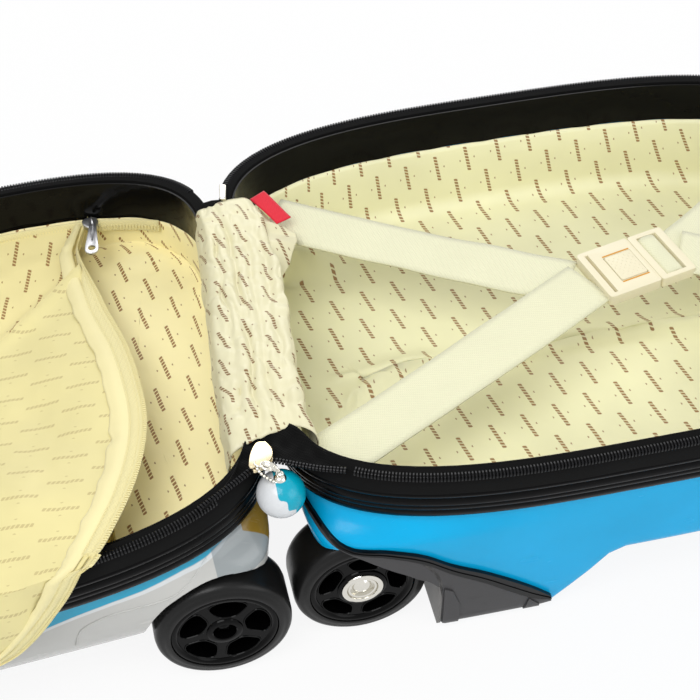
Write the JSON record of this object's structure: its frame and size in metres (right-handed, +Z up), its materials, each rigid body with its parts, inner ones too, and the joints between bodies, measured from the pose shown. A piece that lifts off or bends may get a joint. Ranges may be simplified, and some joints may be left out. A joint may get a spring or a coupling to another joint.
{
  "type": "children's wheeled travel case",
  "caption": "Hard-shell children's travel case lying open, with motor-driven wheels, telescopic handle, straps and zipped divider.",
  "frame": {"origin": "centre of the footprint on the floor that the open case lies on", "axes": "+X from the front half across the hinge to the back half, +Y along the hinge away from the viewer, +Z up"},
  "size_m": [0.8084, 0.3096, 0.1434],
  "materials": {
    "blue_shell": "polished moulded sky-blue shell",
    "white_shell": "polished moulded off-white shell with a sky-blue band",
    "black_plastic": "satin black mouldings",
    "black_tape": "woven zip tape with a moulded coil",
    "tyre_rubber": "smooth black tyre",
    "dark_grey_plastic": "satin dark grey moulding",
    "cream_fabric": "pale yellow satin lining and webbing",
    "yellow_fabric": "yellow satin lining",
    "ivory_plastic": "ivory moulded buckle",
    "chrome": "bright plated metal",
    "steel": "plain steel",
    "aluminium": "drawn tube",
    "brass": "cut gears",
    "teal_plastic": "plain two-colour round pendant",
    "red_label": "plain woven label",
    "board_green": "circuit board"
  },
  "bodies": {
    "back_half": {"back_shell": "blue_shell", "back_frame": "black_plastic", "back_edge_band": "black_plastic", "back_zip_tape": "black_tape", "back_lining": "cream_fabric", "back_near_fender": "dark_grey_plastic", "back_far_fender": "dark_grey_plastic", "back_near_fender_seal": "black_plastic", "back_far_fender_seal": "black_plastic", "back_near_stub_axle": "steel", "back_far_stub_axle": "steel", "handle_bezel": "black_plastic", "handle_foot": "black_plastic", "handle_near_outer_tube": "aluminium", "handle_far_outer_tube": "aluminium", "hinge_straps": "cream_fabric", "top_straps": "cream_fabric", "buckle_socket": "ivory_plastic", "buckle_plug": "ivory_plastic", "label_tab": "red_label", "hinge_gusset": "cream_fabric", "hinge_near_tape": "black_tape", "hinge_far_tape": "black_tape", "zip_slider": "chrome", "carry_handle_base": "black_plastic"},
    "front_half": {"front_shell": "white_shell", "front_frame": "black_plastic", "front_edge_band": "black_plastic", "front_zip_tape": "black_tape", "front_lining": "yellow_fabric", "divider_flap": "yellow_fabric", "divider_slider": "chrome", "front_near_motor": "steel", "front_far_motor": "steel", "battery_pack": "dark_grey_plastic", "control_board": "board_green"},
    "back_near_wheel": {"back_near_tyre": "tyre_rubber", "back_near_hub": "black_plastic", "back_near_bearing": "chrome"},
    "back_far_wheel": {"back_far_tyre": "tyre_rubber", "back_far_hub": "black_plastic", "back_far_bearing": "chrome"},
    "front_near_wheel": {"front_near_tyre": "tyre_rubber", "front_near_hub": "black_plastic", "front_near_drive_gear": "brass"},
    "front_far_wheel": {"front_far_tyre": "tyre_rubber", "front_far_hub": "black_plastic", "front_far_drive_gear": "brass"},
    "front_near_motor_shaft": {"front_near_pinion": "brass"},
    "front_far_motor_shaft": {"front_far_pinion": "brass"},
    "handle_stage_one": {"handle_near_mid_tube": "aluminium", "handle_far_mid_tube": "aluminium"},
    "handle_stage_two": {"handle_near_inner_tube": "aluminium", "handle_far_inner_tube": "aluminium", "handle_grip": "black_plastic"},
    "handle_release": {"handle_button": "dark_grey_plastic"},
    "carry_handle": {"carry_handle": "black_plastic"},
    "buckle_release": {"buckle_button": "ivory_plastic"},
    "charm": {"charm_clasp": "chrome", "charm_ball": "teal_plastic"}
  },
  "joints": [
    {"name": "case_hinge", "type": "hinge", "parent": "back_half", "child": "front_half", "pos_m": [-0.01481, 0, 0.137], "axis": [0, 1, 0], "range_deg": [0, 185], "deforming": ["hinge_gusset", "hinge_near_tape", "hinge_far_tape", "divider_flap"]},
    {"name": "back_near_wheel_spin", "type": "hinge", "parent": "back_half", "child": "back_near_wheel", "pos_m": [0.02469, -0.119, 0.038], "axis": [0, 1, 0], "continuous": true},
    {"name": "back_far_wheel_spin", "type": "hinge", "parent": "back_half", "child": "back_far_wheel", "pos_m": [0.02469, 0.119, 0.038], "axis": [0, 1, 0], "continuous": true},
    {"name": "front_near_wheel_spin", "type": "hinge", "parent": "front_half", "child": "front_near_wheel", "pos_m": [-0.05431, -0.1305, 0.038], "axis": [0, 1, 0], "continuous": true},
    {"name": "front_far_wheel_spin", "type": "hinge", "parent": "front_half", "child": "front_far_wheel", "pos_m": [-0.05431, 0.1305, 0.038], "axis": [0, 1, 0], "continuous": true},
    {"name": "near_motor_spin", "type": "hinge", "parent": "front_half", "child": "front_near_motor_shaft", "pos_m": [-0.05672, -0.1035, 0.06027], "axis": [0, 1, 0], "continuous": true},
    {"name": "far_motor_spin", "type": "hinge", "parent": "front_half", "child": "front_far_motor_shaft", "pos_m": [-0.05672, 0.1035, 0.06027], "axis": [0, 1, 0], "continuous": true},
    {"name": "handle_stage_one_slide", "type": "slide", "parent": "back_half", "child": "handle_stage_one", "axis": [1, 0, 0], "range_m": [0, 0.17]},
    {"name": "handle_stage_two_slide", "type": "slide", "parent": "handle_stage_one", "child": "handle_stage_two", "axis": [1, 0, 0], "range_m": [0, 0.19]},
    {"name": "handle_button_press", "type": "slide", "parent": "handle_stage_two", "child": "handle_release", "axis": [-1, 0, 0], "range_m": [0, 0.003], "stiffness_N_per_m": 400},
    {"name": "carry_handle_slide", "type": "slide", "parent": "back_half", "child": "carry_handle", "axis": [1, 0, 0], "range_m": [0, 0.008]},
    {"name": "buckle_button_press", "type": "slide", "parent": "back_half", "child": "buckle_release", "axis": [0, 0, -1], "range_m": [0, 0.0014], "stiffness_N_per_m": 400},
    {"name": "charm_swing", "type": "hinge", "parent": "back_half", "child": "charm", "pos_m": [-0.01621, -0.1267, 0.14], "axis": [1, 0, 0], "range_deg": [-75, 3]}
  ],
  "couplings": [
    {"joint": "near_motor_spin", "follows": "front_near_wheel_spin", "ratio": -3},
    {"joint": "far_motor_spin", "follows": "front_far_wheel_spin", "ratio": -3}
  ]
}
